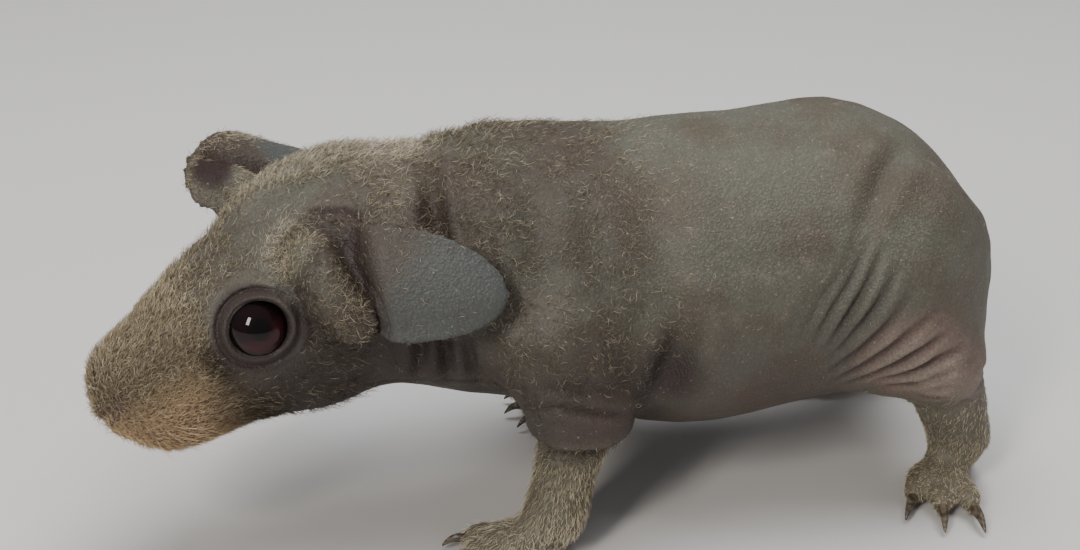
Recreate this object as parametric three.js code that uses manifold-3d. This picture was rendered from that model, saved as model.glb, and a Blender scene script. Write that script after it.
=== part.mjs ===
// A young skinny pig (hairless guinea pig) standing still, at life size.
// Millimetres, +Z up. It faces -X, its left side is towards -Y, and its soles lie on z = 0.
// The flesh is one smooth form of eggs and tapered limbs that melt into each other.
// It is meshed a region at a time and parted by thin cuts into the parts a person would name.

import * as THREE from 'three';
import { mergeVertices } from 'three/addons/utils/BufferGeometryUtils.js';
import Module from 'manifold-3d';

const wasm = await Module();
wasm.setup();

// Driving sizes of the body

const GAP = 0.3; // between neighbouring parts
const MELT = 5; // how widely one form of flesh runs into the next
const FLOOR = 0;

const BACK_HEIGHT = 67;
const BELLY_HEIGHT = 11;
const TRUNK_HALF_WIDTH = 27.5;
const TRUNK_MIDDLE = (BACK_HEIGHT + BELLY_HEIGHT) / 2;
const TRUNK_HALF_HEIGHT = (BACK_HEIGHT - BELLY_HEIGHT) / 2;

const NECK_CUT_X = -27;
const CHEST_CUT_X = -13;
const BELLY_CUT_X = 16;
const RUMP_CUT_X = 46;

// Driving sizes of the head. Its own axes run forward, to the left and up from between the eyes.

const HEAD_PLACE = new THREE.Vector3(-54, -6, 44);
const HEAD_YAW = THREE.MathUtils.degToRad(18); // turned to its left
const HEAD_PITCH = THREE.MathUtils.degToRad(28); // nose down
const MUZZLE_CUT = 7; // ahead of the eyes
const MOUTH_HEIGHT = -10;
const MOUTH_RISE = 0.1; // how much the mouth rises for each millimetre forward
const EYE_RADIUS = 5.2;
const EYE_PLACE = new THREE.Vector3(-0.3, 11.2, -1.4);

const EAR_HALF_WIDTH = 10;
const EAR_WIDEST = 0.4; // of the way from root to tip
const EAR_THICKNESS = 2;
const EAR_CUP = 2.5; // how far the rims curl in
const EAR_FOLD = 1.6; // depth of the crease across the ear
const EAR_FOLD_PLACE = 0.36;

// Driving sizes of the legs: radii of the flesh, and how the paw is laid out

const FORE = {
  upper: { name: 'upper_arm', top: 12, bottom: 7.5, room: new THREE.Vector3(13, 12, 19) },
  sleeve: new THREE.Vector3(10.5, 6, 5.5), // the loose skin that hangs at the elbow
  lower: { name: 'forearm', top: 5.8, bottom: 4.7 },
  palm: { heel: -3, heelRadius: 3.3, ball: 3, ballRadius: 3.6, ankleRadius: 4.6, pads: 2.5 },
  paw: { toes: 4, fan: 17, spacing: 2.9, length: 7.5, claw: 4, reach: 3.5, thick: 1.75 },
};

const HIND = {
  upper: { name: 'thigh', top: 15, bottom: 9, room: new THREE.Vector3(18, 14, 24) },
  haunch: new THREE.Vector3(20, 12, 21),
  haunchTilt: 0.35,
  lower: { name: 'shank', top: 7.5, bottom: 5.2 },
  palm: { heel: -9, heelRadius: 3.6, ball: 5, ballRadius: 3.9, ankleRadius: 5, pads: 4 },
  paw: { toes: 3, fan: 15, spacing: 3.6, length: 8, claw: 6, reach: 4.6, thick: 2.1 },
};

const PAD_SPREAD = 2.6;
const PAD_RADIUS = 3;
const HEEL_HEIGHT = 3.4;
const BALL_HEIGHT = 3.2;
const TOE_TIP_HEIGHT = 1.7;
const CLAW_TIP_HEIGHT = 0.55;
const TOE_SIDES = 6;
const CLAW_SIDES = 5;

// Mesh size of each region

const TRUNK_CELL = 6.2;
const HEAD_CELL = 4.2;
const EAR_CUTTER_CELL = 3.2;
const LOWER_LEG_CELL = 3.2;

// Points and frames

const point = (x, y, z) => new THREE.Vector3(x, y, z);

const headFrame = () => {
  const forward = point(
    -Math.cos(HEAD_YAW) * Math.cos(HEAD_PITCH),
    -Math.sin(HEAD_YAW) * Math.cos(HEAD_PITCH),
    -Math.sin(HEAD_PITCH)
  );
  const left = point(Math.sin(HEAD_YAW), -Math.cos(HEAD_YAW), 0);
  const up = forward.clone().cross(left);
  return new THREE.Matrix4().makeBasis(forward, left, up).setPosition(HEAD_PLACE);
};

const HEAD = headFrame();
const HEAD_BACK = HEAD.clone().invert();

// Fields of distance: negative inside the flesh, positive outside

const egg = (centre, radii, turn = new THREE.Euler()) => {
  const back = new THREE.Matrix4().makeRotationFromEuler(turn).setPosition(centre).invert();
  const q = point(0, 0, 0);
  return (p) => {
    q.copy(p).applyMatrix4(back);
    const near = Math.hypot(q.x / radii.x, q.y / radii.y, q.z / radii.z);
    const slope = Math.hypot(q.x / radii.x ** 2, q.y / radii.y ** 2, q.z / radii.z ** 2);
    return (near * (near - 1)) / Math.max(slope, 1e-6);
  };
};

const limb = (start, startRadius, end, endRadius) => {
  const run = end.clone().sub(start);
  const length2 = run.lengthSq();
  const q = point(0, 0, 0);
  return (p) => {
    q.copy(p).sub(start);
    const along = THREE.MathUtils.clamp(q.dot(run) / length2, 0, 1);
    return q.addScaledVector(run, -along).length() - THREE.MathUtils.lerp(startRadius, endRadius, along);
  };
};

const melted = (a, b, width) => {
  const near = Math.max(width - Math.abs(a - b), 0) / width;
  return Math.min(a, b) - (near * near * width) / 4;
};

const melt = (width, ...forms) => (p) =>
  forms.slice(1).reduce((d, form) => melted(d, form(p), width), forms[0](p));

const grown = (form, distance) => (p) => form(p) - distance;

const bothSides = (form) => {
  const q = point(0, 0, 0);
  return (p) => form(q.set(p.x, Math.abs(p.y), p.z));
};

const inHead = (form) => {
  const q = point(0, 0, 0);
  return (p) => form(q.copy(p).applyMatrix4(HEAD_BACK));
};

// Flesh of the trunk

const trunk = melt(
  MELT,
  egg(point(2, 0, 43), point(33, 23.5, 24)),
  egg(point(27, 0, TRUNK_MIDDLE), point(38, TRUNK_HALF_WIDTH, TRUNK_HALF_HEIGHT)),
  egg(point(49.5, 0, 41.5), point(28, 27, 27)),
  egg(point(58.5, 0, 39.5), point(21.5, 23.5, 22.5))
);

const neck = melt(
  MELT,
  limb(point(-38, -3, 43), 16, point(-12, 0, 42), 21),
  limb(point(-33, -1, 50.5), 14, point(-8, 0, 50.5), 17)
);

// Flesh of the head, the same on both sides

const head = inHead(
  bothSides(
    melt(
      4,
      egg(point(-15, 0, -1.5), point(21, 15, 13)),
      egg(point(2, 0, -3), point(19, 11.5, 10.5)),
      limb(point(4, 0, -4), 11.5, point(17.5, 0, -5), 9.6),
      egg(point(20, 0, -2.5), point(6.8, 7.6, 8)),
      egg(point(15, 5, -9), point(9, 6, 7)),
      limb(point(10, 0, -13), 7.5, point(-7, 0, -16.5), 11.5),
      limb(point(-7, 0, -16.5), 11.5, point(-20, 0, -18), 11.5),
      egg(point(-7, 8, -9), point(16, 7.5, 10)),
      egg(point(-1, 9.4, -1.4), point(8, 5.5, 7))
    )
  )
);

// The four legs: where each joint is, and which way the foot points

const LEGS = {
  foreleg_left: {
    build: FORE,
    top: point(-2, -19, 37),
    middle: point(1, -23.5, 25),
    ankle: point(-3.5, -26, 8),
    sole: point(-9, -26, 0),
    heading: 18,
    toeTurn: 0,
  },
  foreleg_right: {
    build: FORE,
    top: point(2, 19, 37),
    middle: point(9, 22.5, 25),
    ankle: point(16, 22, 8),
    sole: point(10.5, 22, 0),
    heading: 10,
    toeTurn: 0,
  },
  hindleg_left: {
    build: HIND,
    top: point(57, -15, 40),
    middle: point(62.5, -21, 27),
    ankle: point(73, -18.5, 10),
    sole: point(70.5, -19.5, 0),
    heading: 52,
    toeTurn: 18,
  },
  hindleg_right: {
    build: HIND,
    top: point(58, 15, 40),
    middle: point(64, 20, 27),
    ankle: point(76.5, 21.5, 9),
    sole: point(70.5, 22, 0),
    heading: 8,
    toeTurn: 0,
  },
};

for (const [name, leg] of Object.entries(LEGS)) leg.side = name.endsWith('left') ? -1 : 1;

const headingOf = (leg, spread = 0) => {
  const angle = THREE.MathUtils.degToRad(leg.heading + spread);
  return point(-Math.cos(angle), leg.side * Math.sin(angle), 0);
};

const upperArm = (leg) =>
  melt(
    3,
    limb(leg.top, FORE.upper.top, leg.middle, FORE.upper.bottom),
    egg(leg.middle.clone().add(point(0.5, 0, 1.5)), FORE.sleeve)
  );

const thigh = (leg) =>
  melt(
    4,
    egg(leg.top.clone().add(point(2, 0, 0)), HIND.haunch, new THREE.Euler(0, HIND.haunchTilt, 0)),
    limb(leg.top, HIND.upper.top, leg.middle.clone().add(point(3, 0, 0)), HIND.upper.bottom)
  );

const upperLegs = Object.values(LEGS).map((leg) => (leg.build === FORE ? upperArm(leg) : thigh(leg)));

const flesh = melt(3, melt(MELT, trunk, neck, head), ...upperLegs);

// The heel, ball and side pads of a paw, with its own axes ahead and outward from the sole's middle

const footPlace = (leg, along, outward, height) => {
  const ahead = headingOf(leg);
  const aside = point(-ahead.y, ahead.x, 0).multiplyScalar(-leg.side);
  return leg.sole.clone().setZ(height).addScaledVector(ahead, along).addScaledVector(aside, outward);
};

const lowerLeg = (leg) => {
  const { lower, palm } = leg.build;
  const knee = leg.middle.clone().add(leg.build === FORE ? point(0, 0, 0) : point(4, 0, -1));
  const heel = footPlace(leg, palm.heel, 0, HEEL_HEIGHT);
  const ball = footPlace(leg, palm.ball, 0, BALL_HEIGHT);
  const pad = (outward) => footPlace(leg, palm.pads, outward * PAD_SPREAD, PAD_RADIUS - 0.1);
  return melt(
    2.5,
    limb(knee, lower.top, leg.ankle, lower.bottom),
    limb(heel, palm.heelRadius, ball, palm.ballRadius),
    limb(pad(-1), PAD_RADIUS, pad(1), PAD_RADIUS),
    limb(leg.ankle, palm.ankleRadius, heel, palm.heelRadius)
  );
};

// A closed mesh round a field, on a grid of cubes. A cube has one vertex for each sheet of
// surface that runs through it, and each vertex is then pulled onto the surface.
// A cube's corners are numbered by bits: 1 is +X, 2 is +Y and 4 is +Z.

const AXES = [0, 1, 2];
const CORNERS = [0, 1, 2, 3, 4, 5, 6, 7];
const edgesAlong = (axis) =>
  CORNERS.filter((corner) => !(corner & (1 << axis))).map((corner) => ({ axis, corner, far: corner | (1 << axis) }));
const EDGES = AXES.flatMap(edgesAlong);
const edgeAt = (axis, corner) => EDGES.findIndex((edge) => edge.axis === axis && edge.corner === corner);

const sheetsOf = (pattern) => {
  const inside = (corner) => ((pattern >> corner) & 1) === 1;
  const sheet = EDGES.map(({ corner, far }, i) => (inside(corner) !== inside(far) ? i : -1));
  const join = (e, f) => {
    const from = sheet[e];
    const to = sheet[f];
    sheet.forEach((name, i) => {
      if (name === from) sheet[i] = to;
    });
  };
  for (const across of AXES) {
    const [a, b] = AXES.filter((axis) => axis !== across);
    for (const base of [0, 1 << across]) {
      const face = [edgeAt(a, base), edgeAt(b, base), edgeAt(a, base | (1 << b)), edgeAt(b, base | (1 << a))];
      const cut = face.filter((e) => sheet[e] >= 0);
      if (cut.length === 2) join(cut[0], cut[1]);
      if (cut.length === 4) {
        const even = inside(base);
        join(face[0], even ? face[1] : face[3]);
        join(face[2], even ? face[3] : face[1]);
      }
    }
  }
  return sheet;
};
const SHEETS = Array.from({ length: 256 }, (_, pattern) => sheetsOf(pattern));

const meshOf = (openForm, low, high, cell) => {
  const edge = 1.5 * cell;
  const form = (p) =>
    Math.max(
      openForm(p),
      ...[low.x + edge - p.x, low.y + edge - p.y, low.z + edge - p.z],
      ...[p.x - high.x + edge, p.y - high.y + edge, p.z - high.z + edge]
    );
  const count = high.clone().sub(low).divideScalar(cell).ceil().addScalar(1);
  const strides = [1, count.x, count.x * count.y];
  const values = new Float64Array(count.x * count.y * count.z);
  const p = point(0, 0, 0);
  const visit = (first, end, action) => {
    for (let k = first; k < count.z - end; k += 1) {
      for (let j = first; j < count.y - end; j += 1) {
        for (let i = first; i < count.x - end; i += 1) action(i + j * strides[1] + k * strides[2], i, j, k);
      }
    }
  };
  visit(0, 0, (here, i, j, k) => {
    values[here] = form(p.set(i, j, k).multiplyScalar(cell).add(low));
  });
  const offsets = CORNERS.map((corner) =>
    AXES.reduce((sum, axis) => sum + (corner & (1 << axis) ? strides[axis] : 0), 0)
  );
  const cubes = new Map();
  const places = [];
  visit(0, 1, (here, i, j, k) => {
    const bitAt = (offset, corner) => (values[here + offset] < 0 ? 1 << corner : 0);
    const pattern = offsets.reduce((bits, offset, corner) => bits | bitAt(offset, corner), 0);
    if (pattern === 0 || pattern === 255) return;
    const sheet = SHEETS[pattern];
    const vertexOf = new Map();
    for (const name of new Set(sheet.filter((found) => found >= 0))) {
      const middle = point(0, 0, 0);
      let crossings = 0;
      EDGES.forEach(({ axis, corner, far }, e) => {
        if (sheet[e] !== name) return;
        const near = values[here + offsets[corner]];
        const t = near / (near - values[here + offsets[far]]);
        middle.add(p.set(corner & 1, (corner & 2) / 2, (corner & 4) / 4));
        middle.setComponent(axis, middle.getComponent(axis) + t);
        crossings += 1;
      });
      middle.divideScalar(crossings).add(p.set(i, j, k)).multiplyScalar(cell).add(low);
      vertexOf.set(name, places.length);
      places.push(ontoSurface(form, middle, cell));
    }
    cubes.set(here, sheet.map((name) => vertexOf.get(name)));
  });
  const faces = [];
  visit(1, 1, (here) => {
    for (const axis of AXES) {
      const inside = values[here] < 0;
      if (inside === values[here + strides[axis]] < 0) continue;
      const a = (axis + 1) % 3;
      const b = (axis + 2) % 3;
      const ring = [0, 1 << a, (1 << a) | (1 << b), 1 << b].map(
        (corner) => cubes.get(here - offsets[corner])[edgeAt(axis, corner)]
      );
      if (!inside) ring.reverse();
      const [q0, q1, q2, q3] = ring.map((vertex) => places[vertex]);
      const split = q0.distanceTo(q2) < q1.distanceTo(q3) ? [0, 1, 2, 0, 2, 3] : [1, 2, 3, 1, 3, 0];
      faces.push(...split.map((turn) => ring[turn]));
    }
  });
  const geometry = new THREE.BufferGeometry();
  geometry.setAttribute('position', new THREE.Float32BufferAttribute(places.flatMap((v) => v.toArray()), 3));
  geometry.setIndex(faces);
  return geometry;
};

const ontoSurface = (form, start, cell) => {
  const step = 0.05;
  const place = start.clone();
  for (let round = 0; round < 3; round += 1) {
    const value = form(place);
    const slope = point(
      form(place.clone().setX(place.x + step)) - value,
      form(place.clone().setY(place.y + step)) - value,
      form(place.clone().setZ(place.z + step)) - value
    ).divideScalar(step);
    const move = THREE.MathUtils.clamp(value, -cell, cell) / Math.max(slope.lengthSq(), 0.3);
    place.addScaledVector(slope, -move);
  }
  return place.distanceTo(start) < 0.45 * cell ? place : start.lerp(place, 0.4);
};

// Solids: joined, cut and turned back into geometry

const solidOf = (whole) =>
  new wasm.Manifold(
    new wasm.Mesh({
      numProp: 3,
      vertProperties: new Float32Array(whole.attributes.position.array),
      triVerts: new Uint32Array(whole.index.array),
    })
  );

const solid = (geometry) => {
  const bare = geometry.clone();
  bare.deleteAttribute('normal');
  bare.deleteAttribute('uv');
  return solidOf(mergeVertices(bare, 1e-4));
};

const geometryOf = (body) => {
  const mesh = body.getMesh();
  const geometry = new THREE.BufferGeometry();
  geometry.setAttribute('position', new THREE.Float32BufferAttribute(mesh.vertProperties, 3));
  geometry.setIndex(Array.from(mesh.triVerts));
  geometry.computeVertexNormals();
  return geometry;
};

// All that lies beyond a plane through `place`, on the side that `direction` points to
const beyond = (place, direction) => {
  const size = 400;
  const box = new THREE.BoxGeometry(size, size, size);
  box.translate(0, 0, size / 2);
  box.applyQuaternion(new THREE.Quaternion().setFromUnitVectors(point(0, 0, 1), direction.clone().normalize()));
  box.translate(place.x, place.y, place.z);
  return solid(box);
};

const between = (body, xLow, xHigh) => {
  const front = beyond(point(xLow + GAP / 2, 0, 0), point(1, 0, 0));
  const back = beyond(point(xHigh - GAP / 2, 0, 0), point(-1, 0, 0));
  return body.intersect(front).intersect(back);
};

const aboveFloor = beyond(point(0, 0, FLOOR), point(0, 0, 1));

// The finished parts

const group = new THREE.Group();

const finish = (color, roughness, metalness = 0) => ({ color, roughness, metalness });
const SLATE_SKIN = finish(0x5b554d, 0.72);
const FUZZY_SKIN = finish(0x75664f, 0.85);
const GOLDEN_FUZZ = finish(0x97764b, 0.88);
const EAR_SKIN = finish(0x5a4f49, 0.68);
const PAW_FUZZ = finish(0x8d8262, 0.88);
const EYE_GLOSS = finish(0x140b0d, 0.08);
const CLAW_HORN = finish(0x4c4236, 0.45);

const addPart = (name, body, look) => {
  const mesh = new THREE.Mesh(geometryOf(body), new THREE.MeshStandardMaterial(look));
  mesh.name = name;
  group.add(mesh);
};

// Trunk, neck and upper legs. An upper leg is the flesh inside an egg of its own.

const eggSolid = (centre, radii, extra) => {
  const ball = new THREE.SphereGeometry(1, 13, 9);
  ball.scale(radii.x + extra, radii.y + extra, radii.z + extra);
  ball.translate(centre.x, centre.y, centre.z);
  return solid(ball);
};

const upperLegRoom = (leg, extra) => {
  const centre = leg.top.clone().lerp(leg.middle, 0.5).add(point(1, leg.side * 6, 0));
  return eggSolid(centre, leg.build.upper.room, extra);
};

const TORSO_LOW = point(NECK_CUT_X - 16, -40, 0);
const TORSO_HIGH = point(96, 38, 80);

const torso = solidOf(meshOf(flesh, TORSO_LOW, TORSO_HIGH, TRUNK_CELL));
const roomForTorso = solidOf(meshOf(grown(flesh, 1.4 * GAP), TORSO_LOW, TORSO_HIGH, TRUNK_CELL));

let trunkLeft = torso;
for (const [name, leg] of Object.entries(LEGS)) {
  addPart(`${name}_${leg.build.upper.name}`, torso.intersect(upperLegRoom(leg, 0)), SLATE_SKIN);
  trunkLeft = trunkLeft.subtract(upperLegRoom(leg, GAP));
}
addPart('neck', between(trunkLeft, NECK_CUT_X, CHEST_CUT_X), FUZZY_SKIN);
addPart('chest', between(trunkLeft, CHEST_CUT_X, BELLY_CUT_X), FUZZY_SKIN);
addPart('belly', between(trunkLeft, BELLY_CUT_X, RUMP_CUT_X), SLATE_SKIN);
addPart('rump', between(trunkLeft, RUMP_CUT_X, TORSO_HIGH.x), SLATE_SKIN);

// Head, parted into skull, muzzle and chin, with a socket for each eye

const headPoint = (u, v, w) => point(u, v, w).applyMatrix4(HEAD);
const headWay = (u, v, w) => point(u, v, w).transformDirection(HEAD);

const EYES = { eye_left: 1, eye_right: -1 };
const eyeBall = (way, extra) => {
  const ball = new THREE.SphereGeometry(EYE_RADIUS + extra, 14, 9);
  const centre = headPoint(EYE_PLACE.x, way * EYE_PLACE.y, EYE_PLACE.z);
  return solid(ball.translate(centre.x, centre.y, centre.z));
};

const headLow = point(-92, -38, 6);
const headHigh = point(NECK_CUT_X + 14, 34, 80);
let skull = solidOf(meshOf(flesh, headLow, headHigh, HEAD_CELL));
skull = skull.intersect(beyond(point(NECK_CUT_X - GAP / 2, 0, 0), point(-1, 0, 0)));
for (const [name, way] of Object.entries(EYES)) {
  addPart(name, eyeBall(way, 0), EYE_GLOSS);
  skull = skull.subtract(eyeBall(way, GAP));
}
const forward = headWay(1, 0, 0);
const backward = forward.clone().negate();
const upward = headWay(-MOUTH_RISE, 0, 1);
const downward = upward.clone().negate();
const snout = skull.intersect(beyond(headPoint(MUZZLE_CUT + GAP / 2, 0, 0), forward));
addPart('head', skull.intersect(beyond(headPoint(MUZZLE_CUT - GAP / 2, 0, 0), backward)), FUZZY_SKIN);
const mouthAt = (offset) => headPoint(MUZZLE_CUT, 0, MOUTH_HEIGHT + offset);
addPart('muzzle', snout.intersect(beyond(mouthAt(GAP / 2), upward)), GOLDEN_FUZZ);
addPart('chin', snout.intersect(beyond(mouthAt(-GAP / 2), downward)), GOLDEN_FUZZ);

// Ears: a ball flattened into a petal, laid along a bent spine and cupped

const EARS = {
  ear_left: {
    root: point(-47, -14, 49),
    bend: point(-31, -26.5, 54),
    tip: point(-11, -29, 49),
    across: point(0.12, 0.32, 0.94),
  },
  ear_right: {
    root: point(-53, 6, 53),
    bend: point(-49, 19, 63.5),
    tip: point(-36, 31, 55),
    across: point(-0.9, -0.15, 0.35),
  },
};

const earBreadth = (along) => {
  const past = Math.max((along - EAR_WIDEST) / (1 - EAR_WIDEST), 0);
  const before = Math.max((EAR_WIDEST - along) / EAR_WIDEST, 0);
  return EAR_HALF_WIDTH * Math.sqrt(Math.max((1 - past ** 2.2) * (1 - 0.9 * before ** 4), 0));
};

const earSolid = (ear) => {
  const spine = new THREE.QuadraticBezierCurve3(ear.root, ear.bend, ear.tip);
  const ball = new THREE.SphereGeometry(1, 12, 11);
  const place = ball.attributes.position;
  const v = point(0, 0, 0);
  for (let i = 0; i < place.count; i += 1) {
    v.fromBufferAttribute(place, i);
    const along = (1 - v.y) / 2;
    const ring = Math.sqrt(Math.max(1 - v.y * v.y, 0));
    const wide = ring > 1e-6 ? v.x / ring : 0;
    const thick = ring > 1e-6 ? v.z / ring : 0;
    const tangent = spine.getTangent(along);
    const across = ear.across.clone().addScaledVector(tangent, -ear.across.dot(tangent)).normalize();
    const outward = tangent.clone().cross(across).normalize();
    const cup = -EAR_CUP * wide * wide - EAR_FOLD * Math.exp(-(((along - EAR_FOLD_PLACE) / 0.1) ** 2));
    const half = (EAR_THICKNESS / 2) * Math.min(1, ring * 1.6) * thick;
    spine.getPoint(along, v).addScaledVector(across, wide * earBreadth(along));
    v.addScaledVector(outward, half + cup);
    place.setXYZ(i, v.x, v.y, v.z);
  }
  return solid(ball);
};

const roomForHead = solidOf(meshOf(grown(flesh, GAP), point(-90, -40, 8), point(8, 40, 80), EAR_CUTTER_CELL));
for (const [name, ear] of Object.entries(EARS)) addPart(name, earSolid(ear).subtract(roomForHead), EAR_SKIN);

// A solid of round sections, rounded at both ends, along a curve

const bentRod = (curve, radii, sides) => {
  const last = radii.length - 1;
  const profile = [new THREE.Vector2(0, 0)];
  const placeOf = (i) => THREE.MathUtils.lerp(0.04, 0.97, i / last);
  radii.forEach((radius, i) => profile.push(new THREE.Vector2(radius, placeOf(i))));
  profile.push(new THREE.Vector2(0, 1));
  const rod = new THREE.LatheGeometry(profile, sides);
  const place = rod.attributes.position;
  const v = point(0, 0, 0);
  for (let i = 0; i < place.count; i += 1) {
    v.fromBufferAttribute(place, i);
    const tangent = curve.getTangent(v.y);
    const aside = tangent.clone().cross(point(0, 0, 1)).normalize();
    const over = aside.clone().cross(tangent);
    const spot = curve.getPoint(v.y).addScaledVector(aside, v.x).addScaledVector(over, v.z);
    place.setXYZ(i, spot.x, spot.y, spot.z);
  }
  return solid(rod);
};

const toeCurve = (knuckle, ahead, length) =>
  new THREE.QuadraticBezierCurve3(
    knuckle,
    knuckle.clone().addScaledVector(ahead, length * 0.55).setZ(knuckle.z + 1.2),
    knuckle.clone().addScaledVector(ahead, length).setZ(TOE_TIP_HEIGHT)
  );

const clawCurve = (tip, ahead, length) =>
  new THREE.QuadraticBezierCurve3(
    tip.clone().addScaledVector(ahead, -1.2).setZ(tip.z + 0.5),
    tip.clone().addScaledVector(ahead, length * 0.55).setZ(tip.z + 0.9),
    tip.clone().addScaledVector(ahead, length).setZ(CLAW_TIP_HEIGHT)
  );

// Lower legs, feet, toes and claws

for (const [name, leg] of Object.entries(LEGS)) {
  const { lower, paw } = leg.build;
  const form = lowerLeg(leg);
  const low = leg.ankle.clone().add(point(-30, -28, 0)).setZ(-5);
  const high = leg.ankle.clone().add(point(22, 22, 0)).setZ(36);
  const whole = solidOf(meshOf(form, low, high, LOWER_LEG_CELL)).intersect(aboveFloor).subtract(roomForTorso);
  const roomForFoot = solidOf(meshOf(grown(form, GAP), low, high, LOWER_LEG_CELL));
  const above = beyond(point(0, 0, leg.ankle.z + GAP / 2), point(0, 0, 1));
  const below = beyond(point(0, 0, leg.ankle.z - GAP / 2), point(0, 0, -1));
  addPart(`${name}_${lower.name}`, whole.intersect(above), PAW_FUZZ);
  addPart(`${name}_foot`, whole.intersect(below), PAW_FUZZ);
  for (let toe = 0; toe < paw.toes; toe += 1) {
    const off = toe - (paw.toes - 1) / 2;
    const ahead = headingOf(leg, leg.toeTurn + off * paw.fan);
    const knuckle = footPlace(leg, paw.reach - Math.abs(off) * 0.8, off * paw.spacing, BALL_HEIGHT);
    const curve = toeCurve(knuckle, ahead, paw.length - Math.abs(off) * 0.9);
    const toeRod = (extra) => bentRod(curve, [1.1, 1, 1, 0.65].map((r) => r * paw.thick + extra), TOE_SIDES);
    const claw = bentRod(clawCurve(curve.getPoint(0.88), ahead, paw.claw), [1, 0.4], CLAW_SIDES);
    addPart(`${name}_toe_${toe + 1}`, toeRod(0).subtract(roomForFoot).intersect(aboveFloor), PAW_FUZZ);
    addPart(`${name}_claw_${toe + 1}`, claw.subtract(toeRod(GAP)).intersect(aboveFloor), CLAW_HORN);
  }
}

// The origin is under the middle of the whole animal, on the floor

const middle = new THREE.Box3().setFromObject(group).getCenter(point(0, 0, 0));
group.position.set(-middle.x, -middle.y, 0);

export default group;
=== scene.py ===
# The looks of a young skinny pig (hairless guinea pig) that stands on all fours, at life size.
# Shapes are worked out in the animal's own frame, in millimetres: x runs back from its shoulders,
# y is 0 on its midline with its left side at -y, and z is 0 at its soles.

from math import cos, radians, sin, tau

import bmesh
import bpy
import numpy as np
from mathutils import Matrix, Vector


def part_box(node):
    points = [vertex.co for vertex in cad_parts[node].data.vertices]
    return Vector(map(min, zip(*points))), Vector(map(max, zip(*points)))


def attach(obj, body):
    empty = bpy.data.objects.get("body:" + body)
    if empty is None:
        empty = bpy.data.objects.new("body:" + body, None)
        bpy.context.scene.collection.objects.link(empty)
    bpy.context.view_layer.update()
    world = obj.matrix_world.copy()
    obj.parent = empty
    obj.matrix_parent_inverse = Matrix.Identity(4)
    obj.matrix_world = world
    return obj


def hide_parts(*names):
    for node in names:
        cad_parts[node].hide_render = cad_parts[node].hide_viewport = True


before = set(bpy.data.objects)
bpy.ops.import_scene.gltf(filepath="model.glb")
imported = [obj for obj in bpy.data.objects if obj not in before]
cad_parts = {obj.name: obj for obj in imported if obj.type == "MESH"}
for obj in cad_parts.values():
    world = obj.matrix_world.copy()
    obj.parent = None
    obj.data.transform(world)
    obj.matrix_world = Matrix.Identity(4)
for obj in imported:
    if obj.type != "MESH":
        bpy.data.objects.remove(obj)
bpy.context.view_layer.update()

MM = 0.001
BELLY_START = 16.15  # where the belly's own part begins
belly_low, belly_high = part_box("belly")
MIDLINE = np.array([belly_low.x / MM - BELLY_START, (belly_low.y + belly_high.y) / 2 / MM, 0])


def placed(points):
    return (np.asarray(points, float) + MIDLINE) * MM


def own(points):
    return np.asarray(points, float) / MM - MIDLINE


# The camera, floor and lights.
# The animal stands on a plain pale floor. A tall soft window-like light stands to its left and in
# front, a wide one hangs overhead, and a weak one fills from behind.

CAMERA_AZIMUTH = radians(-12)
CAMERA_ELEVATION = radians(24)
CAMERA_DISTANCE = 262
CAMERA_TARGET = (-0.6, 0, 40)
EYE_TO_TARGET = np.array(
    [
        sin(CAMERA_AZIMUTH) * cos(CAMERA_ELEVATION),
        -cos(CAMERA_AZIMUTH) * cos(CAMERA_ELEVATION),
        sin(CAMERA_ELEVATION),
    ]
)
FLOOR_COLOUR = (0.52, 0.50, 0.48, 1)
FLOOR_SIZE = 4  # metres
ROOM_COLOUR = (0.80, 0.85, 0.92, 1)
ROOM_STRENGTH = 0.22
LAMP_TARGET = (0, 0, 0.035)  # metres
# place in metres from the animal's middle, width, height, watts and colour
LIGHTS = {
    "window": ((-0.52, -0.58, 0.62), 0.17, 0.42, 7.0, (1.0, 0.97, 0.92)),
    "ceiling": ((0.06, 0.12, 0.85), 0.80, 0.60, 12.0, (0.95, 0.97, 1.0)),
    "fill": ((0.75, -0.45, 0.35), 0.60, 0.60, 1.0, (1.0, 0.93, 0.90)),
}


def aimed(thing, place, target):
    thing.location = place
    thing.rotation_euler = (Vector(target) - Vector(place)).to_track_quat("-Z", "Y").to_euler()
    bpy.context.scene.collection.objects.link(thing)
    return thing


lens = bpy.data.cameras.new("camera")
lens.lens = 50
lens.sensor_width = 36
lens.clip_start = 0.01
lens.clip_end = 20
camera_place = np.array(CAMERA_TARGET) + EYE_TO_TARGET * CAMERA_DISTANCE
camera = aimed(bpy.data.objects.new("camera", lens), placed(camera_place), placed(CAMERA_TARGET))
bpy.context.scene.camera = camera

for light_name, (place, width, height, watts, colour) in LIGHTS.items():
    light = bpy.data.lights.new(light_name, "AREA")
    light.shape = "RECTANGLE"
    light.size = width
    light.size_y = height
    light.energy = watts
    light.color = colour
    lamp = aimed(bpy.data.objects.new(light_name, light), place, LAMP_TARGET)
    lamp.visible_glossy = light_name == "window"

room = bpy.data.worlds.new("room")
room.use_nodes = True
room.node_tree.nodes["Background"].inputs["Color"].default_value = ROOM_COLOUR
room.node_tree.nodes["Background"].inputs["Strength"].default_value = ROOM_STRENGTH
bpy.context.scene.world = room


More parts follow.
